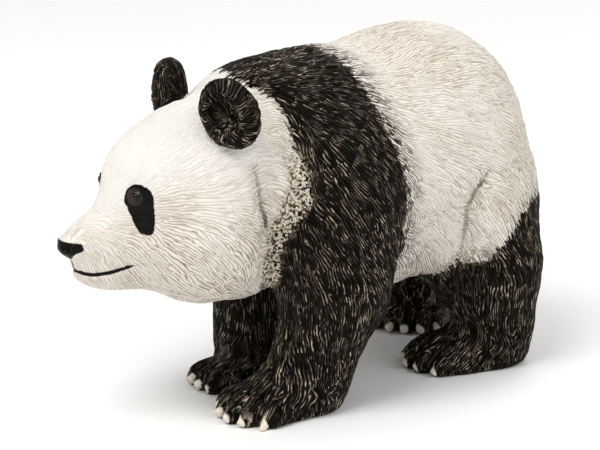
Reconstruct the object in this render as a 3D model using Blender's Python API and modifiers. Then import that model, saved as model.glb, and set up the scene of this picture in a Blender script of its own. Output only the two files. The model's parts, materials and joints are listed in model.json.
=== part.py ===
"""A walking giant panda, cast in one piece as a small painted vinyl figure.

The figure faces -Y, with its left side at +X, and stands on the plane Z = 0. It is pressed together from
soft masses, as a sculptor lays clay on clay: every mass is an ellipsoid or a tapered bone, stated in
hundredths of the figure's length, and flows into what is already there over a stated blend width.
"""

import math

import bmesh
import bpy
import numpy as np
from mathutils import Matrix, Vector

# Driving dimensions, in metres
FIGURE_LENGTH = 0.092
SHARE = FIGURE_LENGTH / 100

# Fineness of the surface
BLANK_VOXEL = 0.8 * SHARE
SKIN_VOXEL = 0.5 * SHARE
SOLID_TRIANGLES = 9600

# Pose
HEAD_YAW = -14
HEAD_PIVOT = (-1.5, -29, 37)

IDENTITY = np.eye(3)


def turned(yaw=0, pitch=0, roll=0):
    """Rotation matrix: roll about Y, then pitch about X, then yaw about Z, in degrees."""
    matrix = (
        Matrix.Rotation(math.radians(yaw), 3, "Z")
        @ Matrix.Rotation(math.radians(pitch), 3, "X")
        @ Matrix.Rotation(math.radians(roll), 3, "Y")
    )
    return np.array(matrix)


def add_primitive(bm, create, placed, **sizes):
    """Adds one primitive, made in a mesh of its own because a growing one slows each next primitive."""
    piece = bmesh.new()
    create(piece, **sizes, matrix=placed)
    mesh = bpy.data.meshes.new("primitive")
    piece.to_mesh(mesh)
    piece.free()
    bm.from_mesh(mesh)
    bpy.data.meshes.remove(mesh)


class Ball:
    """An ellipsoid of clay, or a scoop of that shape."""

    def __init__(self, centre, radii, turn, blend, scoop):
        self.centre = centre
        self.radii = np.array(radii, float)
        self.turn = turn
        self.blend = blend
        self.scoop = scoop
        self.reach = self.radii.max()

    def field(self, points):
        """Distance to the ellipsoid, as of a sphere that is stretched, and its outward direction."""
        local = (points - self.centre) @ self.turn
        near = np.sqrt(((local / self.radii) ** 2).sum(1))
        outward = local / self.radii**2
        steep = np.maximum(np.sqrt((outward**2).sum(1)), 1e-9)
        return near * (near - 1) / steep, (outward / steep[:, None]) @ self.turn.T

    def add_to(self, bm):
        placed = (
            Matrix.Translation(Vector(self.centre * SHARE))
            @ Matrix(self.turn.tolist()).to_4x4()
            @ Matrix.Diagonal((*(self.radii * SHARE), 1))
        )
        add_primitive(bm, bmesh.ops.create_uvsphere, placed, u_segments=32, v_segments=20, radius=1)


class Bone:
    """A tapered bone of clay with round ends."""

    def __init__(self, start, end, start_radius, end_radius, blend, scoop=False):
        self.start, self.end = start, end
        self.start_radius, self.end_radius = start_radius, end_radius
        self.blend = blend
        self.scoop = scoop
        self.centre = (start + end) / 2
        self.reach = np.linalg.norm(end - start) / 2 + max(start_radius, end_radius)

    def field(self, points):
        """Distance to the nearest point of the bone's line, less the radius there, and its direction."""
        along = self.end - self.start
        share = np.clip((points - self.start) @ along / (along @ along), 0, 1)
        offset = points - self.start - share[:, None] * along
        gap = np.maximum(np.sqrt((offset**2).sum(1)), 1e-9)
        radius = self.start_radius + share * (self.end_radius - self.start_radius)
        return gap - radius, offset / gap[:, None]

    def add_to(self, bm):
        for point, radius in ((self.start, self.start_radius), (self.end, self.end_radius)):
            placed = Matrix.Translation(Vector(point * SHARE))
            add_primitive(
                bm, bmesh.ops.create_uvsphere, placed, u_segments=24, v_segments=16, radius=radius * SHARE
            )
        along = Vector(self.end - self.start)
        placed = Matrix.Translation(Vector(self.centre * SHARE)) @ along.to_track_quat("Z", "Y").to_matrix().to_4x4()
        add_primitive(
            bm,
            bmesh.ops.create_cone,
            placed,
            cap_ends=True,
            segments=24,
            radius1=self.start_radius * SHARE,
            radius2=self.end_radius * SHARE,
            depth=along.length * SHARE,
        )


class Clay:
    """Masses in order: each is pressed onto, or scooped out of, what the earlier ones made."""

    def __init__(self):
        self.masses = []
        self.within((0, 0, 0))

    def within(self, origin, frame=IDENTITY):
        """Masses that follow are stated from this origin, in this turned frame."""
        self.origin = np.array(origin, float)
        self.frame = frame

    def place(self, point):
        return self.origin + self.frame @ np.array(point, float)

    def ball(self, centre, radii, blend, turn=IDENTITY, scoop=False):
        self.masses.append(Ball(self.place(centre), radii, self.frame @ turn, blend, scoop))

    def chain(self, joints, blend):
        """Bones from joint to joint, each joint a point and a radius."""
        for (start, start_radius), (end, end_radius) in zip(joints, joints[1:]):
            self.masses.append(Bone(self.place(start), self.place(end), start_radius, end_radius, blend))

    def surface(self, point):
        """The point of the surface nearest to this one."""
        return self.settle(self.place(point)[None], rounds=20)[0]

    def groove(self, line, radius, depth, blend):
        """A round groove that fades out at both ends, along points that are first moved onto the surface."""
        points = np.array([self.surface(point) for point in line])
        outward = self.field(points)[1]
        outward /= np.linalg.norm(outward, axis=1)[:, None]
        depths = np.full((len(line), 1), depth)
        depths[[0, -1]] = 0
        points = points + outward * (radius - depths)
        for start, end in zip(points, points[1:]):
            self.masses.append(Bone(start, end, radius, radius, blend, scoop=True))

    def field(self, points):
        """Signed distance from each point to the surface, negative inside, in shares, and its slope."""
        total = np.full(len(points), 9.0)
        slope = np.zeros_like(points)
        for mass in self.masses:
            gap = ((points - mass.centre) ** 2).sum(1)
            near = np.flatnonzero(gap < (mass.reach + mass.blend + 2.5) ** 2)
            one, one_slope = mass.field(points[near])
            sign = -1 if mass.scoop else 1
            one, one_slope = sign * one, sign * one_slope
            before = total[near]
            overlap = np.maximum(mass.blend - np.abs(before - one), 0) / mass.blend
            lesser = sign * one < sign * before
            share = np.where(lesser, 1 - overlap / 2, overlap / 2)
            total[near] = np.where(lesser, one, before) - sign * overlap**2 * mass.blend / 4
            slope[near] += share[:, None] * (one_slope - slope[near])
        return total, slope

    def settle(self, points, rounds=4):
        """Points moved onto the surface along its slope."""
        for _ in range(rounds):
            depth, slope = self.field(points)
            steepness = np.maximum((slope**2).sum(1), 0.3)
            points = points - np.clip(depth / steepness, -0.8, 0.8)[:, None] * slope
        return points


# The figure's masses, part by part


def torso(clay):
    clay.within((0, 0, 0))
    clay.ball((0, 14, 38.6), (20, 22, 21.4), 4)
    clay.ball((0, 23.2, 38.4), (18.3, 16.9, 21), 6)
    clay.ball((0, 29.2, 29), (15.5, 11.6, 13), 6)
    clay.ball((0, -6, 38), (17, 18, 19.5), 8)
    clay.ball((0, -5, 45.5), (12.5, 12, 12.5), 6)
    clay.ball((-1, -17, 41.3), (14, 13, 16.5), 7)
    clay.ball((0, 40.6, 34), (3.2, 4, 4.6), 3, turned(pitch=-20))


def front_leg(clay, side, shoulder, elbow, wrist, paw, paw_yaw):
    clay.within((0, 0, 0))
    clay.ball(shoulder, (7.5, 11.5, 15), 5, turned(roll=side * 6, pitch=-8))
    clay.chain([(shoulder, 9), (elbow, 9.2), (wrist, 8.4)], 5)
    foot(clay, paw, paw_yaw, side, length=20, width=14, height=8.5)


def hind_leg(clay, side, hip, knee, ankle, paw, paw_yaw):
    clay.within((0, 0, 0))
    clay.ball(hip, (8, 11.5, 15), 6, turned(roll=side * 4, pitch=10))
    clay.chain([(hip, 8.6), (knee, 7.6), (ankle, 6.6)], 6)
    foot(clay, paw, paw_yaw, side, length=21, width=13.5, height=7)


def foot(clay, centre, yaw, side, length, width, height):
    """A flat paw with five toes and claws, stated from its middle on the ground, toes towards -Y."""
    clay.within((centre[0], centre[1], 0), turned(yaw=yaw))
    clay.ball((0, 1.5, height * 0.28), (width * 0.52, length * 0.45, height * 0.72), 4)
    clay.ball((0, -length * 0.2, height * 0.2), (width * 0.53, length * 0.26, height * 0.38), 3)
    for toe in range(-2, 3):
        sideways = toe * 0.205 * width * side
        ahead = (0.5 - 0.028 * toe**2) * length
        splay = turned(yaw=toe * side * 7)
        clay.ball((sideways, 1.6 - ahead, 1.9), (1.6, 3.6, 2.1), 1, splay @ turned(pitch=14))
        knuckle = np.array((sideways, -ahead, 1.7)) + splay @ np.array((0, -0.9, 0))
        point = knuckle + splay @ np.array((0, -1.5, -1.4))
        clay.chain([(knuckle, 0.85), (point, 0.4)], 0.3)


def head(clay):
    clay.within(HEAD_PIVOT, turned(yaw=HEAD_YAW))
    clay.ball((0, 0.5, 2.5), (13, 12.5, 13.6), 2.5)
    clay.ball((0, -8, 3.4), (9, 7.6, 8.3), 5)
    for side in (-1, 1):
        clay.ball((side * 7.5, -1.5, -5.2), (8.2, 10.5, 9.8), 4)
    clay.ball((0, -1, -7), (10, 12, 9), 5)
    clay.ball((0, -15, -5), (5.4, 8.4, 5.1), 6)
    clay.ball((0, -13.4, -9.6), (5.2, 8.4, 3.5), 2.2)
    clay.ball((0, -22.2, -4.4), (3, 2.3, 2.2), 0.8)
    for side in (-1, 1):
        clay.within(clay.surface((side * 6.3, -13, 3.4)), turned(yaw=HEAD_YAW))
        clay.ball((0, 0, 0), (0.9, 0.7, 0.75), 0.3)
        clay.within(HEAD_PIVOT, turned(yaw=HEAD_YAW))
        ear(clay, side)
        lip = [(0, -21.6, -9.4), (1.9, -21.3, -9.6), (3.3, -20, -9.8), (4.8, -17.4, -9.3), (6.1, -14.4, -8.1)]
        clay.groove([(side * x, y, z) for x, y, z in lip], 0.6, 0.4, 0.3)
        cheek = [(11.6, 6, 6.8), (12.5, 7.3, 1), (12.2, 8.4, -5), (10.5, 8.2, -9.8), (9, 7.2, -13.5)]
        clay.groove([(side * x, y, z) for x, y, z in cheek], 1.8, 0.9, 1.5)


def ear(clay, side):
    centre = np.array((side * 11.1, 1.2, 15.3))
    facing = turned(yaw=side * 44, pitch=-8)
    clay.ball(centre, (5.2, 2.5, 6), 2, facing)
    front = centre + facing @ np.array((0, -2.2, -0.2))
    clay.ball(front, (3.5, 2.2, 3.7), 0.8, facing, scoop=True)


def folds(clay):
    """The edge where each shoulder overlaps the neck, and the fold in front of each thigh."""
    clay.within((0, 0, 0))
    shoulder = [(9, -19.3, 53.5), (12.5, -20, 48), (15.3, -19.7, 41), (13.7, -20.5, 31.4), (9.5, -20, 25)]
    flank = [(21, 18.5, 38), (20.8, 16, 34.2), (20.2, 14.7, 31.6), (18.8, 15, 26), (17, 15.6, 22)]
    for side, further in ((1, 0), (-1, 3)):
        clay.groove([(side * x, y + further, z) for x, y, z in shoulder], 2.4, 0.5, 2.5)
        clay.groove([(side * x, y + further, z) for x, y, z in flank], 2.4, 0.9, 2.5)


def panda_clay():
    clay = Clay()
    torso(clay)
    front_leg(clay, 1, (12.5, -8, 36), (12.6, -9.2, 21), (10.4, -13.2, 8), (9.1, -18.5), -9)
    front_leg(clay, -1, (-12.5, -5, 36), (-12, -4, 22), (-9.3, -6.8, 8), (-8.8, -8.4), 2)
    hind_leg(clay, 1, (12, 24.6, 28.5), (13.8, 27, 18), (14.2, 29, 8), (10.8, 23.9), -18)
    hind_leg(clay, -1, (-12, 27, 28), (-13, 32.5, 16), (-15.5, 37, 7), (-14.6, 36.8), 34)
    head(clay)
    folds(clay)
    return clay


# From the masses to the solid


def masses_mesh(masses, name):
    """The masses as overlapping primitives in one mesh."""
    bm = bmesh.new()
    for mass in masses:
        mass.add_to(bm)
    mesh = bpy.data.meshes.new(name)
    bm.to_mesh(mesh)
    bm.free()
    return mesh


def with_modifier(mesh, kind, **settings):
    """A new mesh: this one seen through one modifier."""
    helper = bpy.data.objects.new("helper", mesh)
    bpy.context.scene.collection.objects.link(helper)
    modifier = helper.modifiers.new(kind.lower(), kind)
    for name, value in settings.items():
        setattr(modifier, name, value)
    graph = bpy.context.evaluated_depsgraph_get()
    made = bpy.data.meshes.new_from_object(helper.evaluated_get(graph))
    bpy.data.objects.remove(helper)
    return made


def scooped(mesh, scoops):
    """The mesh with the scoops cut out of it."""
    cutter = bpy.data.objects.new("scoops", masses_mesh(scoops, "scoops"))
    bpy.context.scene.collection.objects.link(cutter)
    made = with_modifier(mesh, "BOOLEAN", operation="DIFFERENCE", object=cutter)
    bpy.data.objects.remove(cutter)
    return made


def settle_mesh(mesh, clay):
    """Moves a mesh's vertices onto the clay's surface."""
    points = np.empty(len(mesh.vertices) * 3)
    mesh.vertices.foreach_get("co", points)
    points = clay.settle(points.reshape(-1, 3) / SHARE)
    mesh.vertices.foreach_set("co", (points * SHARE).ravel())
    mesh.update()


def cut_soles(mesh):
    """Everything below the ground plane cut away, and each sole closed flat."""
    bm = bmesh.new()
    bm.from_mesh(mesh)
    everything = bm.verts[:] + bm.edges[:] + bm.faces[:]
    cut = bmesh.ops.bisect_plane(bm, geom=everything, plane_co=(0, 0, 0), plane_no=(0, 0, -1), clear_outer=True)
    edges = [item for item in cut["geom_cut"] if isinstance(item, bmesh.types.BMEdge)]
    bmesh.ops.holes_fill(bm, edges=edges, sides=0)
    bmesh.ops.triangulate(bm, faces=bm.faces[:])
    bm.to_mesh(mesh)
    bm.free()


def centre_on_origin(mesh):
    """Puts the bottom centre of the mesh's box at the origin."""
    points = np.empty(len(mesh.vertices) * 3)
    mesh.vertices.foreach_get("co", points)
    points = points.reshape(-1, 3)
    middle = (points.min(0) + points.max(0)) / 2
    mesh.transform(Matrix.Translation((-middle[0], -middle[1], 0)))


def build_panda(collection):
    clay = panda_clay()
    mesh = masses_mesh([mass for mass in clay.masses if not mass.scoop], "blank")
    mesh = with_modifier(mesh, "REMESH", mode="VOXEL", voxel_size=BLANK_VOXEL)
    mesh = scooped(mesh, [mass for mass in clay.masses if mass.scoop and isinstance(mass, Ball)])
    for _ in range(2):
        mesh = with_modifier(mesh, "REMESH", mode="VOXEL", voxel_size=SKIN_VOXEL)
        settle_mesh(mesh, clay)
    mesh = with_modifier(mesh, "TRIANGULATE")
    mesh = with_modifier(mesh, "DECIMATE", ratio=SOLID_TRIANGLES / len(mesh.polygons))
    cut_soles(mesh)
    centre_on_origin(mesh)
    mesh.name = "panda"
    mesh.shade_smooth()
    panda = bpy.data.objects.new("panda", mesh)
    collection.objects.link(panda)
    return panda


def painted_vinyl(name, colour, roughness):
    material = bpy.data.materials.new(name)
    material.use_nodes = True
    shader = material.node_tree.nodes["Principled BSDF"]
    shader.inputs["Base Color"].default_value = (*colour, 1)
    shader.inputs["Roughness"].default_value = roughness
    return material


def main():
    for item in list(bpy.data.objects):
        bpy.data.objects.remove(item)
    collection = bpy.data.collections.new("panda figurine")
    bpy.context.scene.collection.children.link(collection)
    panda = build_panda(collection)
    panda.data.materials.append(painted_vinyl("white vinyl paint", (0.78, 0.72, 0.64), 0.55))


main()
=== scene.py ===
"""Looks of a small moulded vinyl panda: fur cut into the surface, painted by hand in white and black.

The form is made as the part's is, of soft masses stated in shares, hundredths of the figure's length, with
the figure facing -Y and its left side at +X. On that smooth form the fur is pressed in as thousands of short
strokes that follow the lie of the coat, and the edges of the paint follow the same strokes.
"""

import itertools
import json
import math

import bpy
import numpy as np
from mathutils import Matrix, Vector

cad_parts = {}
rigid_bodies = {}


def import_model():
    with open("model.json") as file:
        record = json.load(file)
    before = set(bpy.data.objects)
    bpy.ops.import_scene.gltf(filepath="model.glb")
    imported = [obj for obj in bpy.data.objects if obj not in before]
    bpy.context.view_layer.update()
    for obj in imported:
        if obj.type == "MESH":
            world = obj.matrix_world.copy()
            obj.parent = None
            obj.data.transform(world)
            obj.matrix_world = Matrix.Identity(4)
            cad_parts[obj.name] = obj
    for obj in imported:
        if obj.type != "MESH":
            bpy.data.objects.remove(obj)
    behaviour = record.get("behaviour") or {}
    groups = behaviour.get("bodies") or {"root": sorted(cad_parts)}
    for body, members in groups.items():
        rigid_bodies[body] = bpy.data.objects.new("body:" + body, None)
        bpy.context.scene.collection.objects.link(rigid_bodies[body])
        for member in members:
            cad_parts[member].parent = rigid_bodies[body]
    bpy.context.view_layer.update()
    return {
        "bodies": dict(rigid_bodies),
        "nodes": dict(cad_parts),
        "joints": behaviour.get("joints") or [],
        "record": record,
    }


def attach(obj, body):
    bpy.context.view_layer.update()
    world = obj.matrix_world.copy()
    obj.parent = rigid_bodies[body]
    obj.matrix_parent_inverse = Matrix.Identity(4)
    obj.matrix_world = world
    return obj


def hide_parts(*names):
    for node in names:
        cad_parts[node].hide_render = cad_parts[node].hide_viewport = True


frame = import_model()

# Sizes in metres
FIGURE_LENGTH = 0.092
SHARE = FIGURE_LENGTH / 100
COARSE_VOXEL = 0.00045
FINE_VOXEL = 0.00022
HAIR_TUFT = 0.0042
HAIR_PITCH = 0.00046
BUMP_HEIGHT = 0.00012
FLOOR_SIZE = 6
SURFACE_TRIANGLES = 196000

# Heights of the coat in shares: of a stroke, of a tuft, of how far both are sunk, and of the bare sole
STROKE_HEIGHT = 0.34
TUFT_HEIGHT = 0.34
COAT_SUNK = 0.24
SOLE = 0.12

# Shares from a mass within which it counts, the distance where none is near, and that off a painted patch
MASS_MARGIN = 2.5
FAR = 9.0
UNPAINTED = -9

# The clay's origin seen from the bottom centre of the figure's box, in shares
CLAY_ORIGIN = np.array((0.156, 3.052, 0))

# The head's turn in degrees, and the point in shares that it turns about
HEAD_YAW = -14
HEAD_PIVOT = (-1.5, -29, 37)

# The camera: degrees round to the figure's left, degrees up, shares away, and the point it looks at
CAMERA_AZIMUTH, CAMERA_ELEVATION, CAMERA_DISTANCE = 48, 15, 456
CAMERA_TARGET = (-5.9, -1.1, 26.6)
FOCAL_PIXELS, PHOTO_WIDTH, SENSOR_WIDTH = 2600, 600, 36

# Each light: degrees round, degrees up, metres away, metres wide and watts
LIGHTS = {
    "key": (10, 55, 0.6, 0.35, 2.1),
    "fill": (110, 35, 0.7, 0.5, 1),
    "back": (200, 50, 0.7, 0.4, 0.8),
}
LIGHTS_TARGET = (0, 0, 0.028)

IDENTITY = np.eye(3)


def turned(yaw=0, pitch=0, roll=0):
    """Rotation matrix: roll about Y, then pitch about X, then yaw about Z, in degrees."""
    matrix = (
        Matrix.Rotation(math.radians(yaw), 3, "Z")
        @ Matrix.Rotation(math.radians(pitch), 3, "X")
        @ Matrix.Rotation(math.radians(roll), 3, "Y")
    )
    return np.array(matrix)


def ramp(value, start, end):
    """Smooth step: 0 at start, 1 at end, level at both."""
    share = np.clip((value - start) / (end - start), 0, 1)
    return share * share * (3 - 2 * share)


def unit(vectors):
    """Each vector divided by its own length."""
    return vectors / np.maximum(np.linalg.norm(vectors, axis=1), 1e-9)[:, None]


class Ball:
    """An ellipsoid of clay, or a scoop of that shape."""

    def __init__(self, centre, radii, turn, blend, scoop):
        self.centre = centre
        self.radii = np.array(radii, float)
        self.turn = turn
        self.blend = blend
        self.scoop = scoop
        self.reach = self.radii.max()

    def field(self, points):
        """Distance to the ellipsoid, as of a sphere that is stretched, and its outward direction."""
        local = (points - self.centre) @ self.turn
        near = np.sqrt(((local / self.radii) ** 2).sum(1))
        outward = local / self.radii**2
        steep = np.maximum(np.sqrt((outward**2).sum(1)), 1e-9)
        return near * (near - 1) / steep, (outward / steep[:, None]) @ self.turn.T


class Bone:
    """A tapered bone of clay with round ends, or a scoop of that shape."""

    def __init__(self, start, end, start_radius, end_radius, blend, scoop=False):
        self.start, self.end = start, end
        self.start_radius, self.end_radius = start_radius, end_radius
        self.blend = blend
        self.scoop = scoop
        self.centre = (start + end) / 2
        self.reach = np.linalg.norm(end - start) / 2 + max(start_radius, end_radius)

    def field(self, points):
        """Distance to the nearest point of the bone's line, less the radius there, and its direction."""
        along = self.end - self.start
        share = np.clip((points - self.start) @ along / (along @ along), 0, 1)
        offset = points - self.start - share[:, None] * along
        gap = np.maximum(np.sqrt((offset**2).sum(1)), 1e-9)
        radius = self.start_radius + share * (self.end_radius - self.start_radius)
        return gap - radius, offset / gap[:, None]


class Clay:
    """Masses in order: each is pressed onto, or scooped out of, what the earlier ones made."""

    def __init__(self):
        self.masses = []
        self.ears, self.claws, self.eyes, self.lids = [], [], [], []
        self.nose, self.lips, self.creases, self.ruff = [], [], [], []
        self.within((0, 0, 0))

    def within(self, origin, frame=IDENTITY):
        """Masses that follow are stated from this origin, in this turned frame."""
        self.origin = np.array(origin, float)
        self.frame = frame

    def place(self, point):
        """This point of the current frame as a point of the figure."""
        return self.origin + self.frame @ np.array(point, float)

    def ball(self, centre, radii, blend, turn=IDENTITY, scoop=False):
        """An ellipsoid, blended into the earlier masses or scooped out of them."""
        self.masses.append(Ball(self.place(centre), radii, self.frame @ turn, blend, scoop))
        return self.masses[-1]

    def chain(self, joints, blend):
        """Bones from joint to joint, each joint a point and a radius."""
        for (start, start_radius), (end, end_radius) in zip(joints, joints[1:]):
            self.masses.append(Bone(self.place(start), self.place(end), start_radius, end_radius, blend))
        return self.masses[-1]

    def surface(self, point):
        """The point of the surface nearest to this one."""
        return self.settle(self.place(point)[None], rounds=20)[0]

    def groove(self, line, radius, depth, blend, width):
        """A round groove that fades out at both ends, along points that are first moved onto the surface.

        The line painted in its bottom comes back as bones of this width, narrow at the ends.
        """
        points = np.array([self.surface(point) for point in line])
        outward = unit(self.field(points)[1])
        depths = np.full((len(line), 1), depth)
        depths[[0, -1]] = 0
        bottoms = points - outward * depths
        widths = np.full(len(line), width)
        widths[[0, -1]] *= (0.7, 0.2)
        points = points + outward * (radius - depths)
        for start, end in zip(points, points[1:]):
            self.masses.append(Bone(start, end, radius, radius, blend, scoop=True))
        ends = zip(bottoms, bottoms[1:], widths, widths[1:])
        return [Bone(start, end, start_width, end_width, 1) for start, end, start_width, end_width in ends]

    def field(self, points):
        """Signed distance from each point to the surface, negative inside, in shares, and its slope.

        Each mass in turn is joined by a smooth minimum: the lesser distance, less a quarter of the blend
        times the square of the overlap, one less the two distances' gap over the blend. A scoop is
        joined by a smooth maximum with the mass turned inside out.
        """
        total = np.full(len(points), FAR)
        slope = np.zeros_like(points)
        for mass in self.masses:
            gap = ((points - mass.centre) ** 2).sum(1)
            near = np.flatnonzero(gap < (mass.reach + mass.blend + MASS_MARGIN) ** 2)
            one, one_slope = mass.field(points[near])
            sign = -1 if mass.scoop else 1
            one, one_slope = sign * one, sign * one_slope
            before = total[near]
            overlap = np.maximum(mass.blend - np.abs(before - one), 0) / mass.blend
            lesser = sign * one < sign * before
            share = np.where(lesser, 1 - overlap / 2, overlap / 2)
            total[near] = np.where(lesser, one, before) - sign * overlap**2 * mass.blend / 4
            slope[near] += share[:, None] * (one_slope - slope[near])
        return total, slope

    def settle(self, points, rounds=4):
        """Points moved onto the surface: in each round, along the slope by the distance over its square."""
        for _ in range(rounds):
            depth, slope = self.field(points)
            steepness = np.maximum((slope**2).sum(1), 0.3)
            points = points - np.clip(depth / steepness, -0.8, 0.8)[:, None] * slope
        return points


# The figure's masses, part by part


def torso(clay):
    """Trunk, rump, hump, neck, tail, belly and ruff, as ellipsoids that blend into each other."""
    clay.within((0, 0, 0))
    clay.ball((0, 14, 38.6), (20, 22, 21.4), 4)
    clay.ball((0, 23.2, 38.4), (18.3, 16.9, 21), 6)
    clay.ball((0, 29.2, 29), (15.5, 11.6, 13), 6)
    clay.ball((0, -6, 38), (17, 18, 19.5), 8)
    clay.ball((0, -5, 45.5), (12.5, 12, 12.5), 6)
    clay.ball((-1, -17, 41.3), (14, 13, 16.5), 7)
    clay.ball((0, 40.6, 34), (3.2, 4, 4.6), 3, turned(pitch=-20))
    clay.ball((2, 9, 30), (11, 8, 14.2), 4)
    clay.ruff.append(clay.ball((0.5, -22.5, 27.2), (9.5, 7.5, 7.6), 3))


def front_leg(clay, side, shoulder, elbow, wrist, paw, paw_yaw, arc):
    """An ellipsoid over the shoulder, tapered bones down to the wrist, and the foot."""
    clay.within((0, 0, 0))
    x, y, z = shoulder
    clay.ball((x, y - 0.5, z - 1.7), (7.5, 13.3, 15.2), 5, turned(roll=side * 6, pitch=-8))
    clay.chain([(shoulder, 9), (elbow, 7.6), (wrist, 7.1)], 5)
    foot(clay, paw, paw_yaw, side, (13, 20.5, 6.8), 2.85, arc)


def hind_leg(clay, side, hip, knee, ankle, paw, paw_yaw, arc):
    """An ellipsoid over the thigh, tapered bones down to the ankle, and the foot."""
    clay.within((0, 0, 0))
    clay.ball(hip, (8, 11.5, 15), 6, turned(roll=side * 4, pitch=10))
    clay.chain([(hip, 8.6), (knee, 7.6), (ankle, 6.6)], 6)
    foot(clay, paw, paw_yaw, side, (13.5, 21, 7), 2.77, arc)


def foot(clay, centre, yaw, side, size, spread, arc):
    """A flat paw with five toes and claws, stated from its middle on the ground, toes towards -Y.

    Its toes are the spread apart, and stand back from the middle one by the arc times the square of their
    count, times the length.
    """
    width, length, height = size
    clay.within((centre[0], centre[1], 0), turned(yaw=yaw))
    clay.ball((0, 1.5, height * 0.28), (width * 0.52, length * 0.45, height * 0.72), 4)
    clay.ball((0, -length * 0.2, height * 0.2), (width * 0.53, length * 0.26, height * 0.38), 3)
    for toe in range(-2, 3):
        sideways = toe * spread * side
        ahead = (0.5 - arc * toe**2) * length
        splay = turned(yaw=toe * side * 7)
        clay.ball((sideways, 1.6 - ahead, 1.9), (1.6, 3.6, 2.1), 1, splay @ turned(pitch=14))
        knuckle = np.array((sideways, -ahead, 1.7)) + splay @ np.array((0, -0.9, 0))
        point = knuckle + splay @ np.array((0, -1.5, -1.4))
        clay.claws.append(clay.chain([(knuckle, 0.75), (point, 0.6)], 0.2))


def head(clay):
    """Skull, brow, cheeks, jaw, muzzle, chin and nose, then the eye, ear and grooves of each side."""
    clay.within(HEAD_PIVOT, turned(yaw=HEAD_YAW))
    clay.ball((0, 0.5, 2.5), (13, 12.5, 14), 2.5)
    clay.ball((0, -8, 3.4), (9, 7.6, 8.3), 5)
    for side in (-1, 1):
        clay.ball((side * 7.5, -1.5, -5.2), (8.2, 10.5, 9.8), 4)
    clay.ball((0, -1, -7), (10, 12, 9), 5)
    clay.ball((0, -15, -5), (5.4, 8.4, 5.1), 6)
    clay.ball((0, -13.4, -9.8), (5.2, 8.4, 3.9), 2.2)
    clay.nose.append(clay.ball((0, -21.9, -5.2), (3.4, 2.4, 1.9), 0.8))
    lip = [(0, -21.6, -9.4), (1.9, -21.3, -9.6), (3.3, -20, -9.8), (4.7, -17.4, -9.4)]
    lip += [(6, -14.8, -8.6), (7.6, -12, -7.5)]
    cheek = [(11.6, 6, 6.8), (12.5, 7.3, 1), (12.2, 8.4, -5), (10.5, 8.2, -9.8), (9, 7.2, -13.5)]
    for side in (-1, 1):
        clay.within(clay.surface((side * 6.3, -13, 3.4)), turned(yaw=HEAD_YAW))
        eye(clay, side)
        clay.within(HEAD_PIVOT, turned(yaw=HEAD_YAW))
        ear(clay, side)
        nostril = clay.surface((side * 1.7, -23.8, -5.2))
        clay.masses.append(Ball(nostril, (0.9, 1.2, 0.65), turned(yaw=HEAD_YAW + side * 30), 0.2, True))
        clay.lips += clay.groove(mirrored(lip, side), radius=0.35, depth=0.25, blend=0.3, width=0.28)
        clay.creases += clay.groove(mirrored(cheek, side), radius=1.6, depth=1.2, blend=1.5, width=0.35)


def mirrored(line, side, further=0):
    """The line's points on this side of the figure, moved back by the distance further."""
    return [(side * x, y + further, z) for x, y, z in line]


def eye(clay, side):
    """A ball in a thin ring of eight bones, both stated from the eye's middle."""
    angles = np.radians(np.arange(0, 361, 45))
    ring = [(1.3 * math.cos(a), 0.5 * side * math.cos(a) - 0.1, 1.15 * math.sin(a)) for a in angles]
    clay.chain([(point, 0.36) for point in ring], 0.2)
    clay.lids += clay.masses[-8:]
    clay.eyes.append(clay.ball((0, 0.1, 0), (1, 0.75, 0.85), 0.1))


def ear(clay, side):
    """A round ear, hollow in front, of its own place and lean on each side."""
    if side > 0:
        centre, radii, facing = (11.4, 1.3, 16.6), (4.8, 2.5, 5.9), turned(yaw=44, pitch=-8, roll=-36)
    else:
        centre, radii, facing = (-12.2, 1.5, 16.1), (4.7, 2.8, 5.3), turned(yaw=-44, pitch=1)
    clay.ears.append(clay.ball(centre, radii, 1.5, facing))
    front = np.array(centre) + facing @ np.array((-0.6 * side, -2.4, 0.4))
    clay.ball(front, (2.7, 2.9, 3.5), 0.5, facing, scoop=True)


def folds(clay):
    """The edge where each shoulder overlaps the neck, and the fold in front of each thigh."""
    clay.within((0, 0, 0))
    shoulder = [(9, -19.3, 53.5), (12.5, -20, 48), (15.3, -19.7, 41), (13.7, -20.5, 31.4), (9.5, -20, 25)]
    flank = [(21, 18.5, 38), (20.8, 16, 34.2), (20.2, 14.7, 31.6), (18.8, 15, 26), (17, 15.6, 22)]
    for side, further in ((1, 0), (-1, 3)):
        clay.groove(mirrored(shoulder, side, further), radius=2.4, depth=0.5, blend=2.5, width=0.1)
        fold = mirrored(flank, side, further)
        clay.creases += clay.groove(fold, radius=1.6, depth=1.1, blend=1.5, width=0.35)


def panda_clay():
    """The whole smooth form: trunk, legs, head and folds."""
    clay = Clay()
    torso(clay)
    front_leg(clay, 1, (12.5, -8, 36), (12.6, -9.3, 21), (10.5, -13.7, 6.5), (8.1, -18.3), -1, 0.042)
    front_leg(clay, -1, (-12.5, -5, 36), (-13.2, -4.9, 22), (-10.3, -8, 7), (-6.3, -10.9), 3, 0.018)
    hind_leg(clay, 1, (12, 24, 28.5), (13.8, 26.1, 18), (14.2, 28.2, 8), (10.8, 24.2), -21, 0.037)
    hind_leg(clay, -1, (-12, 27, 28), (-13, 32.5, 16), (-15.5, 37, 7), (-14.9, 36.9), 34, 0.022)
    head(clay)
    folds(clay)
    return clay


# The coat: its lie, its strokes and its tufts


def soft_noise(points, size, seed):
    """Smooth noise between -1 and 1: three crossed sine waves in turned directions, each bent by the next."""
    waves = np.zeros(len(points))
    for step in range(3):
        turn = turned(yaw=37 * step + 11 * seed, pitch=53 * step + 7 * seed, roll=29 * step)
        bent = (points @ turn) / size * (1 + 0.7 * step)
        waves += np.sin(bent[:, 0] + 1.7 * np.sin(bent[:, 1] + seed)) * np.sin(bent[:, 2] + 2.1 * step)
    return waves / 2


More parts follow.
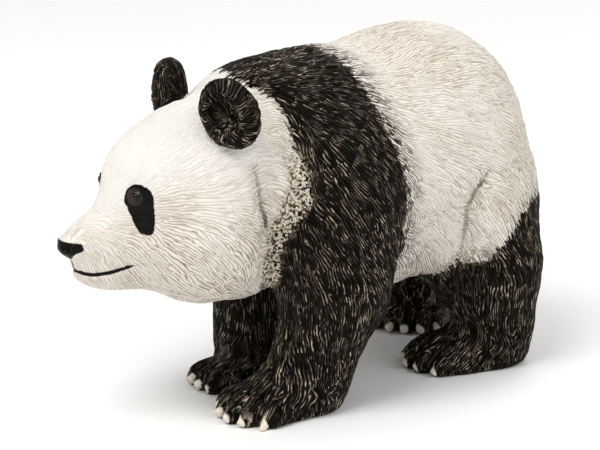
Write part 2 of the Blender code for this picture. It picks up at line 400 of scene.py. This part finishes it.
def scatter(cells, seed, count):
    """Repeatable random numbers between 0 and 1 for whole-number cells, by multiplying and shuffling bits."""
    mixed = cells[:, 0] * np.uint32(73856093)
    mixed ^= cells[:, 1] * np.uint32(19349663)
    mixed ^= cells[:, 2] * np.uint32(83492791)
    mixed ^= np.uint32(seed * 2654435 + 97)
    numbers = []
    for _ in range(count):
        mixed ^= mixed >> np.uint32(15)
        mixed *= np.uint32(0x85EBCA6B)
        mixed ^= mixed >> np.uint32(13)
        mixed *= np.uint32(0xC2B2AE35)
        mixed ^= mixed >> np.uint32(16)
        numbers.append((mixed >> np.uint32(8)).astype(np.float32) / np.float32(1 << 24))
    return numbers


def strokes(points, normals, lie, cell, length, width, stray, seed):
    """Height from 0 to 1 of overlapping strokes, and the middle of the stroke on top, at each point.

    Space is cut into cells with one stroke in each, at a random place in it. A stroke is a rounded ridge
    along the lie of the coat, turned by up to the stray angle: one less the square of the distance across
    it, times one less the fourth power of the distance along it. The highest stroke wins.
    """
    points, normals, lie = (array.astype(np.float32) for array in (points, normals, lie))
    across = np.cross(normals, lie)
    home = np.floor(points / cell).astype(np.int32)
    part = points - (home + 0.5) * np.float32(cell)
    depth, side = (part * normals).sum(1), (part * across).sum(1)
    top = np.zeros(len(points), np.float32)
    middle = points.copy()
    reach = math.ceil(length / 2 / cell)
    steps = range(-reach, reach + 1)
    slack = 0.87 * cell
    widest = width + length / 2 * math.sin(math.radians(stray)) + slack
    for step in itertools.product(steps, steps, steps):
        shift = np.array(step, np.float32) * np.float32(cell)
        possible = np.abs(depth - normals @ shift) < 0.75 * cell + slack
        possible &= np.abs(side - across @ shift) < widest
        near = np.flatnonzero(possible)
        cells = home[near] + np.array(step, np.int32)
        east, north, up, bend, strength = scatter(cells.astype(np.uint32), seed, 5)
        centre = (cells + np.stack((east, north, up), 1)) * np.float32(cell)
        gap = points[near] - centre
        along = (gap * lie[near]).sum(1)
        aside = (gap * across[near]).sum(1)
        off = (gap * normals[near]).sum(1) / (cell * 0.75)
        angle = (bend - 0.5) * 2 * np.float32(math.radians(stray))
        forward = (along * np.cos(angle) + aside * np.sin(angle)) * 2 / length
        sideways = (aside * np.cos(angle) - along * np.sin(angle)) / width + 0.5 * (bend - 0.5) * forward**2
        height = np.clip(1 - sideways**2, 0, 1) * np.clip(1 - forward**4, 0, 1) * np.clip(1 - off**2, 0, 1)
        height *= 0.55 + 0.45 * strength
        higher = height > top[near]
        top[near[higher]] = height[higher]
        middle[near[higher]] = centre[higher]
    return top.astype(float), middle.astype(float)


def coat_lie(points, normals):
    """The direction of the hair at each point: a guide direction for each part, laid flat on the surface.

    Hair runs back and down along the trunk, down the legs and out over the toes, back from the nose over
    the skull and down the cheeks, and outwards from the middle of each ear.
    """
    x, y, z = points.T
    guide = np.zeros_like(points)
    guide[:, 1] = 1
    guide[:, 2] = -0.2 - 0.45 * ramp(z, 58, 38) - 0.5 * ramp(z, 38, 20)
    shoulder = ramp(y, 4, -6) * ramp(y, -24, -16)
    guide[:, 2] -= 0.9 * shoulder * ramp(z, 60, 50)
    thigh = ramp(y, 18, 30) * ramp(z, 44, 30)
    guide[:, 2] -= 1.2 * thigh
    leg = ramp(z, 26, 16)[:, None]
    guide += leg * (np.array((0, 0.15, -1.6)) - guide)
    paw = ramp(z, 8, 3.5)[:, None] * (normals[:, 2:] > -0.2)
    guide += paw * (np.array((0, -0.8, -0.8)) - guide)
    away = unit(points - CLAY.nose[0].centre)
    away[:, 2] -= 0.95 * ramp(z, 42, 26) + 0.1
    on_head, _ = head_place(points)
    guide += on_head[:, None] * (away - guide)
    for one in CLAY.ears:
        near = ramp(one.field(points)[0], 1.2, 0.2)[:, None]
        outward = unit(points - one.centre + np.array((0, 0, 1.5)))
        guide += near * (outward - guide)
    sway = 0.1 * soft_noise(points, 4.5, 3)
    flat = unit(guide - (guide * normals).sum(1)[:, None] * normals)
    return unit(flat + sway[:, None] * np.cross(normals, flat))


def nearest(masses, points):
    """Distance from each point to the nearest of these masses, in shares."""
    return np.min([mass.field(points)[0] for mass in masses], axis=0)


def bare(points):
    """1 where there is no fur, on claws, eyes and nose, and 0 where the coat is full."""
    gap = np.minimum(nearest(CLAY.claws, points), nearest(CLAY.eyes, points))
    gap = np.minimum(gap, nearest(CLAY.nose, points) + 0.3)
    return ramp(gap, 0.9, 0.25)


def coat(points, normals):
    """Height of the coat in shares on the smooth form, its ridges, the stroke on top, and the lie.

    The height is that of fine strokes, lower on the face and snout, plus that of broad tufts, less what
    both are sunk by. It fades to none on bare skin and at the ground.
    """
    lie = coat_lie(points, normals)
    on_head, local = head_place(points)
    face = ramp(local[:, 1], 2, -12) * on_head
    snout = ramp(local[:, 1], -11, -18) * on_head
    ridge, middle = strokes(points, normals, lie, cell=1.05, length=4.4, width=0.36, stray=10, seed=5)
    tuft, _ = strokes(points, normals, lie, cell=3, length=9, width=1.7, stray=22, seed=21)
    height = STROKE_HEIGHT * ridge * (1 - 0.35 * face - 0.35 * snout)
    height = height + TUFT_HEIGHT * tuft * (1 - 0.75 * face) - COAT_SUNK
    height *= 1 - bare(points)
    height *= ramp(points[:, 2], 0, 0.8)
    return height, ridge, middle, lie


# The paint, as distances in shares, positive inside each painted patch


def head_place(points):
    """1 on the head and 0 on the body, and each point stated from the head's pivot in its turned frame."""
    local = (points - np.array(HEAD_PIVOT)) @ turned(yaw=HEAD_YAW)
    return ramp(local[:, 1], 11, 6) * ramp(points[:, 2], 18, 21), local


def black_coat(points, middle):
    """Distance inside the black coat: the shoulder band, the four legs and the ears.

    The band lies between a front and a rear edge, two curves of Y over X and Z. The legs lie below the
    chest and the hip, two curves of Z over X and Y. All is read at the stroke's middle, so that the edge
    runs from stroke to stroke and looks tufted.
    """
    tuft = middle + 0.4 * (points - middle)
    x, y, z = tuft.T
    wander = 0.5 * soft_noise(tuft, 1.8, 1)
    y = y + wander
    z = z + wander
    crest = 3.7 * np.exp(-((x - 1.5) ** 2) / 36) * ramp(z, 50, 56)
    front_edge = -18.7 - crest - 2.6 * ramp(z, 41, 31)
    rear_edge = -1.4 - 2.1 * ramp(z, 38, 56) + 3.6 * ramp(z, 33, 25)
    band = np.minimum(y - front_edge, rear_edge - y)
    chest = 19 + (1 + 0.062 * x**2) * ramp(y, -14, -18)
    front = np.maximum(band, np.minimum(chest - z, 7 - y))
    hip = 16.5 + 5.3 * ramp(y, 12, 15.5) + 9.5 * ramp(y, 17, 30) - 5 * ramp(y, 32, 42)
    hind = np.minimum(y - 11, hip - z)
    hind = np.minimum(hind, np.maximum(np.abs(x) - 5, 15 - z))
    ears = 2 * (0.4 - nearest(CLAY.ears, points))
    body = np.minimum(np.maximum(front, hind), nearest(CLAY.ruff, tuft) - 0.7)
    body = np.where((head_place(points)[0] > 0.5) & (z < 46), UNPAINTED, body)
    return np.maximum(body, ears)


def curly(points):
    """1 where short curly fur is mottled white, tan and brown: under the white neck and over each thigh."""
    y, z = points[:, 1], points[:, 2]
    neck = ramp(z, 48, 42) * ramp(y, -12, -16)
    thigh = 0.55 * ramp(y, 12, 14) * ramp(y, 22, 17) * ramp(z, 17, 19)
    return ramp(np.abs(black_coat(points, points) + 1), 2.2, 0.9) * np.maximum(neck, thigh)


def oval(across, along, centre, radii, lean):
    """Distance inside an oval that leans by so many degrees, as of a circle that is stretched."""
    turn = math.radians(lean)
    across, along = across - centre[0], along - centre[1]
    first = (across * math.cos(turn) + along * math.sin(turn)) / radii[0]
    second = (along * math.cos(turn) - across * math.sin(turn)) / radii[1]
    return (1 - np.hypot(first, second)) * min(radii)


def face_paint(points):
    """Distance inside the black of the face: eye patches, nose pad, the line below it and the mouth."""
    on_head, local = head_place(points)
    side, forward, up = np.abs(local[:, 0]), local[:, 1], local[:, 2]
    upper = oval(side, up, (6.9, 3.2), (2, 2.3), 10)
    lower = oval(side, up, (7.9, 0.2), (1.5, 3.1), 17)
    overlap = np.maximum(1.4 - np.abs(upper - lower), 0)
    patch = np.maximum(upper, lower) + overlap**2 / 5.6 + 0.12 * soft_noise(points, 0.5, 2)
    patch = np.where(forward < -4, patch, UNPAINTED)
    pad = np.minimum(0.35 - nearest(CLAY.nose, points), 3.7 - side - 1.3 * np.clip(-5.4 - up, 0, 9))
    pad = np.minimum(pad, -4.1 - up)
    line = np.min([0.42 - side, up + 9.7, -5 - up, -18 - forward], axis=0)
    lips = -nearest(CLAY.lips, points)
    return np.where(on_head > 0.5, np.max([patch, pad, line, lips], axis=0), UNPAINTED)


# From the solid to the piece


def with_modifier(mesh, kind, **settings):
    """A new mesh: this one seen through one modifier."""
    helper = bpy.data.objects.new("helper", mesh)
    bpy.context.scene.collection.objects.link(helper)
    modifier = helper.modifiers.new(kind.lower(), kind)
    for name, value in settings.items():
        setattr(modifier, name, value)
    graph = bpy.context.evaluated_depsgraph_get()
    made = bpy.data.meshes.new_from_object(helper.evaluated_get(graph))
    bpy.data.objects.remove(helper)
    return made


def clay_points(mesh):
    """The mesh's vertices in shares from the clay's origin."""
    points = np.empty(len(mesh.vertices) * 3)
    mesh.vertices.foreach_get("co", points)
    return points.reshape(-1, 3) / SHARE - CLAY_ORIGIN


def set_clay_points(mesh, points):
    """Puts the mesh's vertices at these points, stated in shares from the clay's origin."""
    mesh.vertices.foreach_set("co", ((points + CLAY_ORIGIN) * SHARE).ravel())
    mesh.update()


def keep_numbers(mesh, name, values):
    """Stores one number a vertex, which the materials read by this name."""
    mesh.attributes.new(name, "FLOAT", "POINT").data.foreach_set("value", values.astype(np.float32))


def keep_directions(mesh, name, vectors):
    """Stores one direction a vertex, which the materials read by this name."""
    data = mesh.attributes.new(name, "FLOAT_VECTOR", "POINT").data
    data.foreach_set("vector", vectors.astype(np.float32).ravel())


def smooth_mesh():
    """The solid with its triangles joined, moved onto the smooth form in two coarse rounds, and remeshed."""
    solid = frame["nodes"]["panda"].data.copy()
    mesh = with_modifier(solid, "WELD", merge_threshold=1e-6)
    for _ in range(2):
        mesh = with_modifier(mesh, "REMESH", mode="VOXEL", voxel_size=COARSE_VOXEL)
        points = CLAY.settle(clay_points(mesh))
        points[:, 2] = np.maximum(points[:, 2], 0)
        set_clay_points(mesh, points)
    return with_modifier(mesh, "REMESH", mode="VOXEL", voxel_size=FINE_VOXEL)


def raise_coat(mesh):
    """Moves each vertex above the sole onto the smooth form, and then out by the height of the coat."""
    points = clay_points(mesh)
    above = points[:, 2] > SOLE
    points[above] = CLAY.settle(points[above])
    normals = unit(CLAY.field(points)[1])
    height = coat(points, normals)[0]
    height[~above] = 0
    raised = points + height[:, None] * normals
    raised[:, 2] = np.maximum(raised[:, 2], 0)
    set_clay_points(mesh, raised)


def keep_paint(mesh):
    """Stores what the material reads at each vertex, all worked out at its point of the smooth form.

    The wash is how much tan lies in the grooves: more towards the belly and the jaw, less on the snout,
    and all of it in and around the creases, where it is partly painted shade. The soot is how much brown lies
    on the white next to the black.
    """
    raised = clay_points(mesh)
    points = CLAY.settle(raised)
    normals = unit(CLAY.field(points)[1])
    _, ridge, middle, lie = coat(points, normals)
    black = black_coat(points, middle)
    on_head, local = head_place(points)
    y, z = points[:, 1], points[:, 2]
    wash = 0.65 + 0.3 * ramp(z, 45, 25)
    wash += on_head * (0.2 + 0.7 * ramp(local[:, 2], 10, -6) - wash)
    wash -= 0.4 * on_head * ramp(local[:, 1], -8, -18)
    wash = np.maximum(wash, 0)
    creases = nearest(CLAY.creases, points)
    # Painted shade in part: the wash rises to its full amount in and around the creases
    wash = np.maximum(wash, ramp(creases, 1.6, 0.4))
    soot = ramp(black, -8, -0.5) * ramp(y, -8, -3) * ramp(y, 11, 7) * ramp(z, 18, 24)
    soot = np.maximum(soot, 0.9 * ramp(black, -3.5, 0) * ramp(y, 12, 16))
    soot = np.maximum(soot, 0.35 * ramp(black, -1.5, 0) * (1 - on_head))
    keep_numbers(mesh, "ridge", ridge)
    keep_numbers(mesh, "black", black)
    keep_numbers(mesh, "face_black", face_paint(points))
    keep_numbers(mesh, "wash", wash)
    keep_numbers(mesh, "soot", soot)
    keep_numbers(mesh, "curly", curly(points))
    keep_numbers(mesh, "crease", -creases)
    keep_numbers(mesh, "claw", np.minimum(0.1 - nearest(CLAY.claws, points), raised[:, 2] - 0.1))
    keep_numbers(mesh, "eye", 0.1 - nearest(CLAY.eyes, points))
    keep_numbers(mesh, "lid", 0.1 - nearest(CLAY.lids, points))
    keep_directions(mesh, "lie", lie)
    keep_directions(mesh, "across", np.cross(normals, lie))


def panda_piece():
    """The whole figure in one piece: smooth form, coat, fewer triangles, paint."""
    mesh = smooth_mesh()
    raise_coat(mesh)
    mesh = with_modifier(mesh, "TRIANGULATE")
    mesh = with_modifier(mesh, "DECIMATE", ratio=SURFACE_TRIANGLES / len(mesh.polygons))
    keep_paint(mesh)
    mesh.shade_smooth()
    mesh.name = "panda_coat"
    piece = bpy.data.objects.new("panda_coat", mesh)
    bpy.context.scene.collection.objects.link(piece)
    return piece


# Paints

WARM_WHITE, DULL_WHITE, CLEAN_WHITE = (0.77, 0.725, 0.66), (0.72, 0.665, 0.585), (0.79, 0.76, 0.71)
TAN_WASH, SOOT_WASH = (0.2, 0.145, 0.095), (0.038, 0.024, 0.014)
# The brown in the creases is partly a painted line of its own and partly painted shade
HOLLOW_TAN, CREASE_LINE_AND_SHADE_BROWN = (0.42, 0.34, 0.25), (0.08, 0.058, 0.038)
# Painted shade of the black in its grooves, and the black paint's own colour on its ridges
GROOVE_SHADE_BLACK, RIDGE_BLACK = (0.0012, 0.001, 0.0008), (0.017, 0.0135, 0.0095)
DULL_BEIGE, BRIGHT_BEIGE = (0.08, 0.062, 0.044), (0.56, 0.47, 0.36)
CURL_CREAM, CURL_TAN, CURL_BROWN = (0.66, 0.58, 0.46), (0.2, 0.15, 0.1), (0.085, 0.06, 0.036)
FACE_BLACK, EYE_BLACK, LID_BROWN = (0.004, 0.0033, 0.0027), (0.004, 0.0035, 0.003), (0.05, 0.038, 0.027)
CLAW_CREAM, CLAW_TAN = (0.84, 0.8, 0.7), (0.74, 0.67, 0.54)
FLOOR_WHITE, FLOOR_BRIGHT = (0.93, 0.93, 0.93), (0.95, 0.95, 0.95)


class Nodes:
    """Short ways to add nodes to one tree and join them."""

    def __init__(self, tree):
        self.tree = tree

    def add(self, kind, inputs=(), **settings):
        """A node with these settings, and each input set to its value or joined to its socket."""
        node = self.tree.nodes.new(kind)
        for name, value in settings.items():
            setattr(node, name, value)
        for name, value in dict(inputs).items():
            if isinstance(value, bpy.types.NodeSocket):
                self.tree.links.new(value, node.inputs[name])
            else:
                node.inputs[name].default_value = value
        return node

    def attribute(self, name, output="Fac"):
        return self.add("ShaderNodeAttribute", attribute_name=name).outputs[output]

    def maths(self, operation, first, second=0.0, third=0.0):
        return self.add("ShaderNodeMath", {0: first, 1: second, 2: third}, operation=operation).outputs[0]

    def vector(self, operation, first, second):
        node = self.add("ShaderNodeVectorMath", {0: first, 1: second}, operation=operation)
        return node.outputs["Value" if operation == "DOT_PRODUCT" else "Vector"]

    def step(self, value, low, high, bottom=0.0, top=1.0):
        """Smooth step of a value from bottom, at low, to top, at high."""
        ranges = {"Value": value, "From Min": low, "From Max": high, "To Min": bottom, "To Max": top}
        return self.add("ShaderNodeMapRange", ranges, interpolation_type="SMOOTHSTEP").outputs[0]

    def lerp(self, share, first, second):
        """Mix of two numbers: first where share is 0, second where it is 1."""
        return self.add("ShaderNodeMix", {0: share, 2: first, 3: second}, data_type="FLOAT").outputs[0]

    def mix(self, share, first, second):
        """Colour mix: first where share is 0, second where it is 1."""
        node = self.add("ShaderNodeMix", data_type="RGBA")
        for socket, value in ((0, share), (6, first), (7, second)):
            if isinstance(value, bpy.types.NodeSocket):
                self.tree.links.new(value, node.inputs[socket])
            else:
                node.inputs[socket].default_value = (*value, 1) if socket else value
        return node.outputs[2]

    def noise(self, place, scale, detail=3.0, roughness=0.55):
        values = {"Vector": place, "Scale": scale, "Detail": detail, "Roughness": roughness}
        return self.add("ShaderNodeTexNoise", values).outputs["Fac"]


def combed_hairs(nodes, place, cell, pitch, layers):
    """Height from 0 to 1 of fine parallel hairs that lie in tufts along the coat.

    Space is cut into cells, each with a tuft. Seen from the tuft's middle, the hairs are the rows of a
    wave across the lie, the absolute value of a sine, with a start and a slant of the tuft's own. Streaks
    of noise, long along the lie, shift the rows and fade them here and there. Each later layer of tufts
    lies over the earlier ones inside an oval that is longer along the lie.
    """
    lie, across = nodes.attribute("lie", "Vector"), nodes.attribute("across", "Vector")
    waver = nodes.maths("MULTIPLY_ADD", nodes.noise(place, 380, 1), pitch, -0.5 * pitch)
    hairs = 0.0
    for layer in range(layers):
        moved = nodes.vector("ADD", place, (0.013 * layer, 0.007 * layer, 0.009 * layer))
        cells = nodes.add("ShaderNodeTexVoronoi", {"Vector": moved, "Scale": 1 / cell}).outputs
        gap = nodes.vector("SUBTRACT", moved, cells["Position"])
        along, aside = nodes.vector("DOT_PRODUCT", gap, lie), nodes.vector("DOT_PRODUCT", gap, across)
        start, slant, spacing = nodes.add("ShaderNodeSeparateColor", {"Color": cells["Color"]}).outputs
        slant = nodes.maths("MULTIPLY_ADD", slant, 0.36, -0.18)
        row = nodes.maths("ADD", nodes.maths("MULTIPLY_ADD", along, slant, aside), waver)
        row = nodes.maths("MULTIPLY", row, nodes.maths("MULTIPLY_ADD", spacing, 0.5 / pitch, 0.8 / pitch))
        streak = {
            "X": nodes.maths("MULTIPLY", aside, 0.6 / pitch),
            "Y": nodes.maths("MULTIPLY", along, 0.2 / pitch),
            "Z": nodes.maths("MULTIPLY", start, 40),
        }
        streak = nodes.noise(nodes.add("ShaderNodeCombineXYZ", streak).outputs[0], 1, 1)
        row = nodes.maths("ADD", row, nodes.maths("MULTIPLY_ADD", streak, 1.5, start))
        wave = nodes.maths("ABSOLUTE", nodes.maths("SINE", nodes.maths("MULTIPLY", row, math.pi)))
        wave = nodes.maths("MULTIPLY", wave, nodes.step(streak, 0.32, 0.55, 0.45, 1.0))
        if layer:
            far = nodes.maths("POWER", nodes.maths("MULTIPLY", along, 1 / (0.72 * cell)), 2)
            wide = nodes.maths("POWER", nodes.maths("MULTIPLY", aside, 1 / (0.42 * cell)), 2)
            cover = nodes.step(nodes.maths("ADD", far, wide), 1.0, 0.75)
            hairs = nodes.lerp(cover, hairs, wave)
        else:
            hairs = wave
    return hairs


def white_paint(nodes, hairs, patches, ridge, wash, soot):
    """Warm white: clean on the ridges, tan in the grooves, tan with a brown line and painted shade in the
    creases, and brown next to the black.
    """
    groove = nodes.step(hairs, 0.62, 0.1)
    groove = nodes.maths("MULTIPLY", groove, nodes.step(patches, 0.25, 0.65, 0.45, 1.0))
    sooty = nodes.maths("MULTIPLY", nodes.step(hairs, 0.88, 0.4), soot)
    amount = nodes.maths("MAXIMUM", nodes.maths("MULTIPLY", groove, wash), sooty)
    dirt = nodes.mix(nodes.step(soot, 0.0, 0.5), TAN_WASH, SOOT_WASH)
    white = nodes.mix(nodes.step(patches, 0.35, 0.7), WARM_WHITE, DULL_WHITE)
    white = nodes.mix(nodes.step(wash, 0.5, 0.2), white, CLEAN_WHITE)
    hollow = nodes.maths("MULTIPLY", nodes.step(ridge, 0.45, 0.0), nodes.maths("MULTIPLY", wash, 0.7))
    white = nodes.mix(hollow, white, HOLLOW_TAN)
    white = nodes.mix(amount, white, dirt)
    # The creases' brown line: partly the paint's own line, partly painted shade
    crease = nodes.step(nodes.attribute("crease"), -0.4, 0.05)
    crease = nodes.maths("MULTIPLY", crease, nodes.step(patches, 0.35, 0.6, 0.5, 1.0))
    return nodes.mix(crease, white, CREASE_LINE_AND_SHADE_BROWN)


def black_paint(nodes, hairs, patches, ridge, specks):
    """Brown black with painted shade, darkest in the grooves, with thin beige strokes brushed over the
    ridges.
    """
    brushed = nodes.step(hairs, 0.8, 0.97)
    brushed = nodes.maths("MULTIPLY", brushed, nodes.step(patches, 0.3, 0.65, 0.4, 1.0))
    bright = nodes.maths("MULTIPLY", nodes.step(specks, 0.4, 0.66), nodes.step(ridge, 0.2, 0.7, 0.3, 1.0))
    beige = nodes.mix(bright, DULL_BEIGE, BRIGHT_BEIGE)
    # Painted shade: the black goes from its own colour on the ridges to near black in the grooves
    brown = nodes.mix(nodes.step(hairs, 0.15, 0.85), GROOVE_SHADE_BLACK, RIDGE_BLACK)
    return nodes.mix(brushed, brown, beige)


def painted_fur():
    """Warm white and brown black vinyl paint: a tan wash in the white's grooves, painted shade in the black's
    grooves, and dry-brushed beige ridges.
    """
    material = bpy.data.materials.new("painted fur")
    material.use_nodes = True
    nodes = Nodes(material.node_tree)
    shader = material.node_tree.nodes["Principled BSDF"]
    place = nodes.add("ShaderNodeTexCoord").outputs["Object"]
    ridge = nodes.attribute("ridge")
    hairs = combed_hairs(nodes, place, HAIR_TUFT, HAIR_PITCH, layers=3)
    patches = nodes.noise(place, 90, 3)
    specks = nodes.noise(place, 700, 2)
    grain = nodes.noise(place, 2600, 3, 0.6)
    wash, soot = nodes.attribute("wash"), nodes.attribute("soot")
    white = white_paint(nodes, hairs, patches, ridge, wash, soot)
    black = black_paint(nodes, hairs, patches, ridge, specks)

    # Curly fur, mottled on both sides of the black's edge
    mottled = nodes.attribute("curly")
    curls = nodes.noise(place, 2400, 1)
    tan = nodes.mix(nodes.step(curls, 0.4, 0.62), CURL_CREAM, CURL_BROWN)
    white = nodes.mix(nodes.maths("MULTIPLY", mottled, nodes.step(curls, 0.32, 0.46)), white, tan)
    black = nodes.mix(nodes.maths("MULTIPLY", mottled, nodes.step(curls, 0.55, 0.4)), black, CURL_TAN)

    # The black's edge, which follows the hairs and the curls
    fringe = nodes.maths("MULTIPLY_ADD", hairs, 0.7, -0.35)
    edge = nodes.maths("ADD", nodes.attribute("black"), fringe)
    edge = nodes.maths("ADD", edge, nodes.maths("MULTIPLY", mottled, nodes.step(curls, 0.4, 0.65, -0.7, 0.9)))
    is_black = nodes.step(edge, -0.12, 0.12)
    colour = nodes.mix(is_black, white, black)

    # Face, eyelids, claws and eyes over both
    fuzz = nodes.maths("MULTIPLY_ADD", grain, 0.16, -0.08)
    is_face_black = nodes.step(nodes.maths("ADD", nodes.attribute("face_black"), fuzz), -0.06, 0.06)
    colour = nodes.mix(is_face_black, colour, FACE_BLACK)
    is_lid = nodes.step(nodes.attribute("lid"), -0.08, 0.08)
    colour = nodes.mix(nodes.maths("MULTIPLY", is_lid, 0.8), colour, LID_BROWN)
    is_claw = nodes.step(nodes.attribute("claw"), -0.06, 0.06)
    colour = nodes.mix(is_claw, colour, nodes.mix(nodes.step(patches, 0.35, 0.65), CLAW_CREAM, CLAW_TAN))
    is_eye = nodes.step(nodes.attribute("eye"), -0.06, 0.06)
    colour = nodes.mix(is_eye, colour, EYE_BLACK)

    # Sheen, duller on the white, and the hairs' bump, which leaves claws and eyes smooth
    rough = nodes.step(grain, 0.3, 0.7, 0.5, 0.66)
    rough = nodes.maths("MULTIPLY_ADD", is_black, -0.1, rough)
    rough = nodes.maths("MULTIPLY_ADD", is_face_black, -0.16, rough)
    rough = nodes.maths("MULTIPLY_ADD", is_claw, -0.15, rough)
    rough = nodes.maths("MULTIPLY_ADD", is_eye, -0.1, rough)
    smooth = nodes.maths("MAXIMUM", is_claw, is_eye)
    gloss = nodes.maths("MULTIPLY_ADD", is_face_black, 0.15, nodes.maths("MULTIPLY", smooth, 0.3))
    height = nodes.maths("MULTIPLY_ADD", specks, 0.3, nodes.maths("MULTIPLY", grain, 0.1))
    height = nodes.maths("ADD", height, hairs)
    height = nodes.maths("MULTIPLY", height, nodes.maths("SUBTRACT", 1.0, smooth))
    bump = nodes.add("ShaderNodeBump", {"Strength": 0.6, "Distance": BUMP_HEIGHT, "Height": height})
    tree = material.node_tree
    tree.links.new(colour, shader.inputs["Base Color"])
    tree.links.new(rough, shader.inputs["Roughness"])
    tree.links.new(gloss, shader.inputs["Coat Weight"])
    shader.inputs["Specular IOR Level"].default_value = 0.03
    tree.links.new(bump.outputs["Normal"], shader.inputs["Normal"])
    return material


# The studio


def floor_material():
    """Matt white in two tones, mottled by wide noise."""
    material = bpy.data.materials.new("white studio floor")
    material.use_nodes = True
    nodes = Nodes(material.node_tree)
    shader = material.node_tree.nodes["Principled BSDF"]
    place = nodes.add("ShaderNodeTexCoord").outputs["Object"]
    mottle = nodes.step(nodes.noise(place, 6, 3), 0.3, 0.7)
    colour = nodes.mix(mottle, FLOOR_WHITE, FLOOR_BRIGHT)
    material.node_tree.links.new(colour, shader.inputs["Base Color"])
    shader.inputs["Roughness"].default_value = 0.7
    return material


def studio_floor():
    """A flat square sheet at the soles' height."""
    half = FLOOR_SIZE / 2
    mesh = bpy.data.meshes.new("studio_floor")
    corners = [(-half, -half, 0), (half, -half, 0), (half, half, 0), (-half, half, 0)]
    mesh.from_pydata(corners, [], [(0, 1, 2, 3)])
    mesh.materials.append(floor_material())
    floor = bpy.data.objects.new("studio_floor", mesh)
    bpy.context.scene.collection.objects.link(floor)
    return floor


def looking(place, target):
    """A matrix that stands at a place and looks at a target."""
    place, target = Vector(place), Vector(target)
    return Matrix.Translation(place) @ (target - place).to_track_quat("-Z", "Y").to_matrix().to_4x4()


def around(azimuth, elevation, distance, target):
    """The point at this distance from the target; azimuth 0 is ahead of the figure and 90 on its left."""
    turn, rise = math.radians(azimuth), math.radians(elevation)
    direction = Vector((math.sin(turn) * math.cos(rise), -math.cos(turn) * math.cos(rise), math.sin(rise)))
    return Vector(target) + distance * direction


def soft_light(name, azimuth, elevation, distance, size, power):
    """A round soft light that shines at the middle of the figure."""
    light = bpy.data.lights.new(name, "AREA")
    light.shape = "DISK"
    light.size = size
    light.energy = power
    lamp = bpy.data.objects.new(name, light)
    lamp.matrix_world = looking(around(azimuth, elevation, distance, LIGHTS_TARGET), LIGHTS_TARGET)
    bpy.context.scene.collection.objects.link(lamp)


def photo_camera():
    """The photograph's view, from ahead and the figure's left through a long lens."""
    target = Vector((CAMERA_TARGET + CLAY_ORIGIN) * SHARE)
    place = around(CAMERA_AZIMUTH, CAMERA_ELEVATION, CAMERA_DISTANCE * SHARE, target)
    data = bpy.data.cameras.new("photo camera")
    data.sensor_width = SENSOR_WIDTH
    data.lens = SENSOR_WIDTH * FOCAL_PIXELS / PHOTO_WIDTH
    data.clip_start = 0.01
    camera = bpy.data.objects.new("photo camera", data)
    camera.matrix_world = looking(place, target)
    bpy.context.scene.collection.objects.link(camera)
    bpy.context.scene.camera = camera


def studio_world():
    """An even, faintly warm light from all sides."""
    world = bpy.data.worlds.new("studio")
    world.use_nodes = True
    background = world.node_tree.nodes["Background"]
    background.inputs["Color"].default_value = (1, 0.99, 0.975, 1)
    background.inputs["Strength"].default_value = 0.66
    bpy.context.scene.world = world
    bpy.context.scene.view_settings.view_transform = "Standard"


CLAY = panda_clay()

panda = panda_piece()
panda.data.materials.clear()
panda.data.materials.append(painted_fur())
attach(panda, "root")
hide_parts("panda")

floor = studio_floor()
photo_camera()
for name, settings in LIGHTS.items():
    soft_light(name, *settings)
studio_world()
